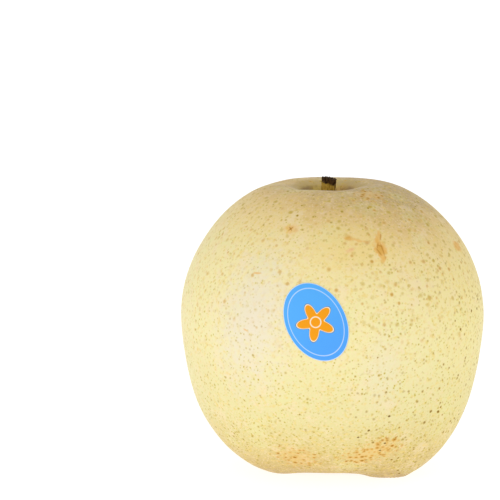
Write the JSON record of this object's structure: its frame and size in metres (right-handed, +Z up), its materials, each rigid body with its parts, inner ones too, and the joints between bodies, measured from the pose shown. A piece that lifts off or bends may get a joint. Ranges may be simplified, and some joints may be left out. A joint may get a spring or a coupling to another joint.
{
  "type": "nashi pear",
  "caption": "Round pale-yellow nashi pear with a deep stem cavity, short cut stem, lobed calyx end and a plain oval label, resting upright.",
  "frame": {"origin": "on the surface that the pear rests on, under the middle of its width and depth", "axes": "+Z up along the core towards the stem; the label faces -Y; +X is to the right as the label is faced"},
  "size_m": [0.09, 0.0892, 0.0876],
  "materials": {
    "pear_skin": "pale yellow waxy skin, satin, dotted all over with fine tan lenticels, tan at the crown",
    "stem_bark": "rough dry brown-black bark, olive-yellow at the foot",
    "label_face": "smooth printed film, sky blue with a plain orange flower, pale cut edge, no lettering"
  },
  "bodies": {
    "root": {"fruit": "pear_skin", "stem": "stem_bark", "label": "label_face"}
  },
  "joints": []
}
